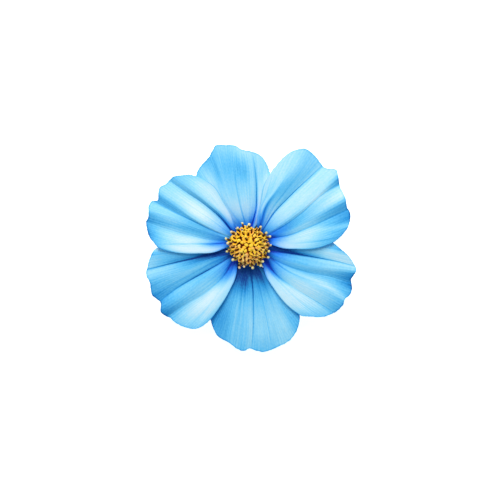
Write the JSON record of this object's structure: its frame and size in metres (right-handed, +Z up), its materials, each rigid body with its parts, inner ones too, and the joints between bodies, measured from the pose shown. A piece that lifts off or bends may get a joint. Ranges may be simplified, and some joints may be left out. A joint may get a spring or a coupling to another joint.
{
  "type": "cosmos flower",
  "caption": "Open cosmos flower head with broad pleated blue petals round a golden disc, picked with a short stalk stub and lying face up.",
  "frame": {"origin": "on the surface that the flower lies on, under the middle of its outline seen from above", "axes": "+Z up, along the flower's axis and out of its face; +Y towards the top petal, as the picture shows it; +X to the right"},
  "size_m": [0.0701, 0.0691, 0.0127],
  "materials": {
    "petal": "thin soft petal tissue, satin, sky blue with paler ridges and darker folds",
    "disc_florets": "matte golden florets dusted with pollen",
    "inner_bract": "thin satin yellow-green scale",
    "stalk_green": "satin green stalk and bracts"
  },
  "bodies": {
    "root": {"petal_top": "petal", "petal_upper_right": "petal", "petal_lower_right": "petal", "petal_bottom": "petal", "petal_lower_left": "petal", "petal_upper_left": "petal", "disc": "disc_florets", "inner_bracts": "inner_bract", "stalk_and_outer_bracts": "stalk_green"}
  },
  "joints": []
}
